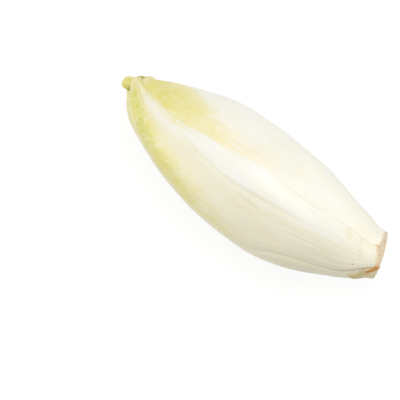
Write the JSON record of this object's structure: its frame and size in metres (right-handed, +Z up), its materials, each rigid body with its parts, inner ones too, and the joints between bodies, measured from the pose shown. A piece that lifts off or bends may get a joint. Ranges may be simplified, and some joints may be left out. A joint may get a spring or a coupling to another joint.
{
  "type": "belgian endive",
  "caption": "Head of Belgian endive lying on its side: pale leaves wrapped round a cone-shaped core, yellow-green at the pointed end, with a cut stump at the other.",
  "frame": {"origin": "on the surface the head lies on, under the middle of its bounding box", "axes": "+X along the head towards its cut stump, +Z up, +Y to the side where the upper leaf lies"},
  "size_m": [0.1574, 0.0582, 0.0545],
  "materials": {
    "stump": "cut chicory root tissue, matte, tan at the rim",
    "dried_leaf": "dried leaf, matte",
    "outer_leaf": "waxy leaf, satin, creamy white turning yellow-green towards the tip",
    "inner_leaf": "waxy leaf, satin, pale yellow towards the tip"
  },
  "bodies": {
    "root": {"core": "stump", "old_leaf_base": "dried_leaf", "outer_leaf_upper": "outer_leaf", "outer_leaf_front": "outer_leaf", "outer_leaf_under": "outer_leaf", "outer_leaf_side": "outer_leaf", "inner_leaf_01": "inner_leaf", "inner_leaf_02": "inner_leaf", "inner_leaf_03": "inner_leaf", "inner_leaf_04": "inner_leaf", "inner_leaf_05": "inner_leaf", "inner_leaf_06": "inner_leaf", "inner_leaf_07": "inner_leaf", "inner_leaf_08": "inner_leaf", "inner_leaf_09": "inner_leaf", "inner_leaf_10": "inner_leaf", "inner_leaf_11": "inner_leaf", "inner_leaf_12": "inner_leaf", "inner_leaf_13": "inner_leaf", "inner_leaf_14": "inner_leaf", "inner_leaf_15": "inner_leaf", "inner_leaf_16": "inner_leaf", "inner_leaf_17": "inner_leaf"}
  },
  "joints": []
}
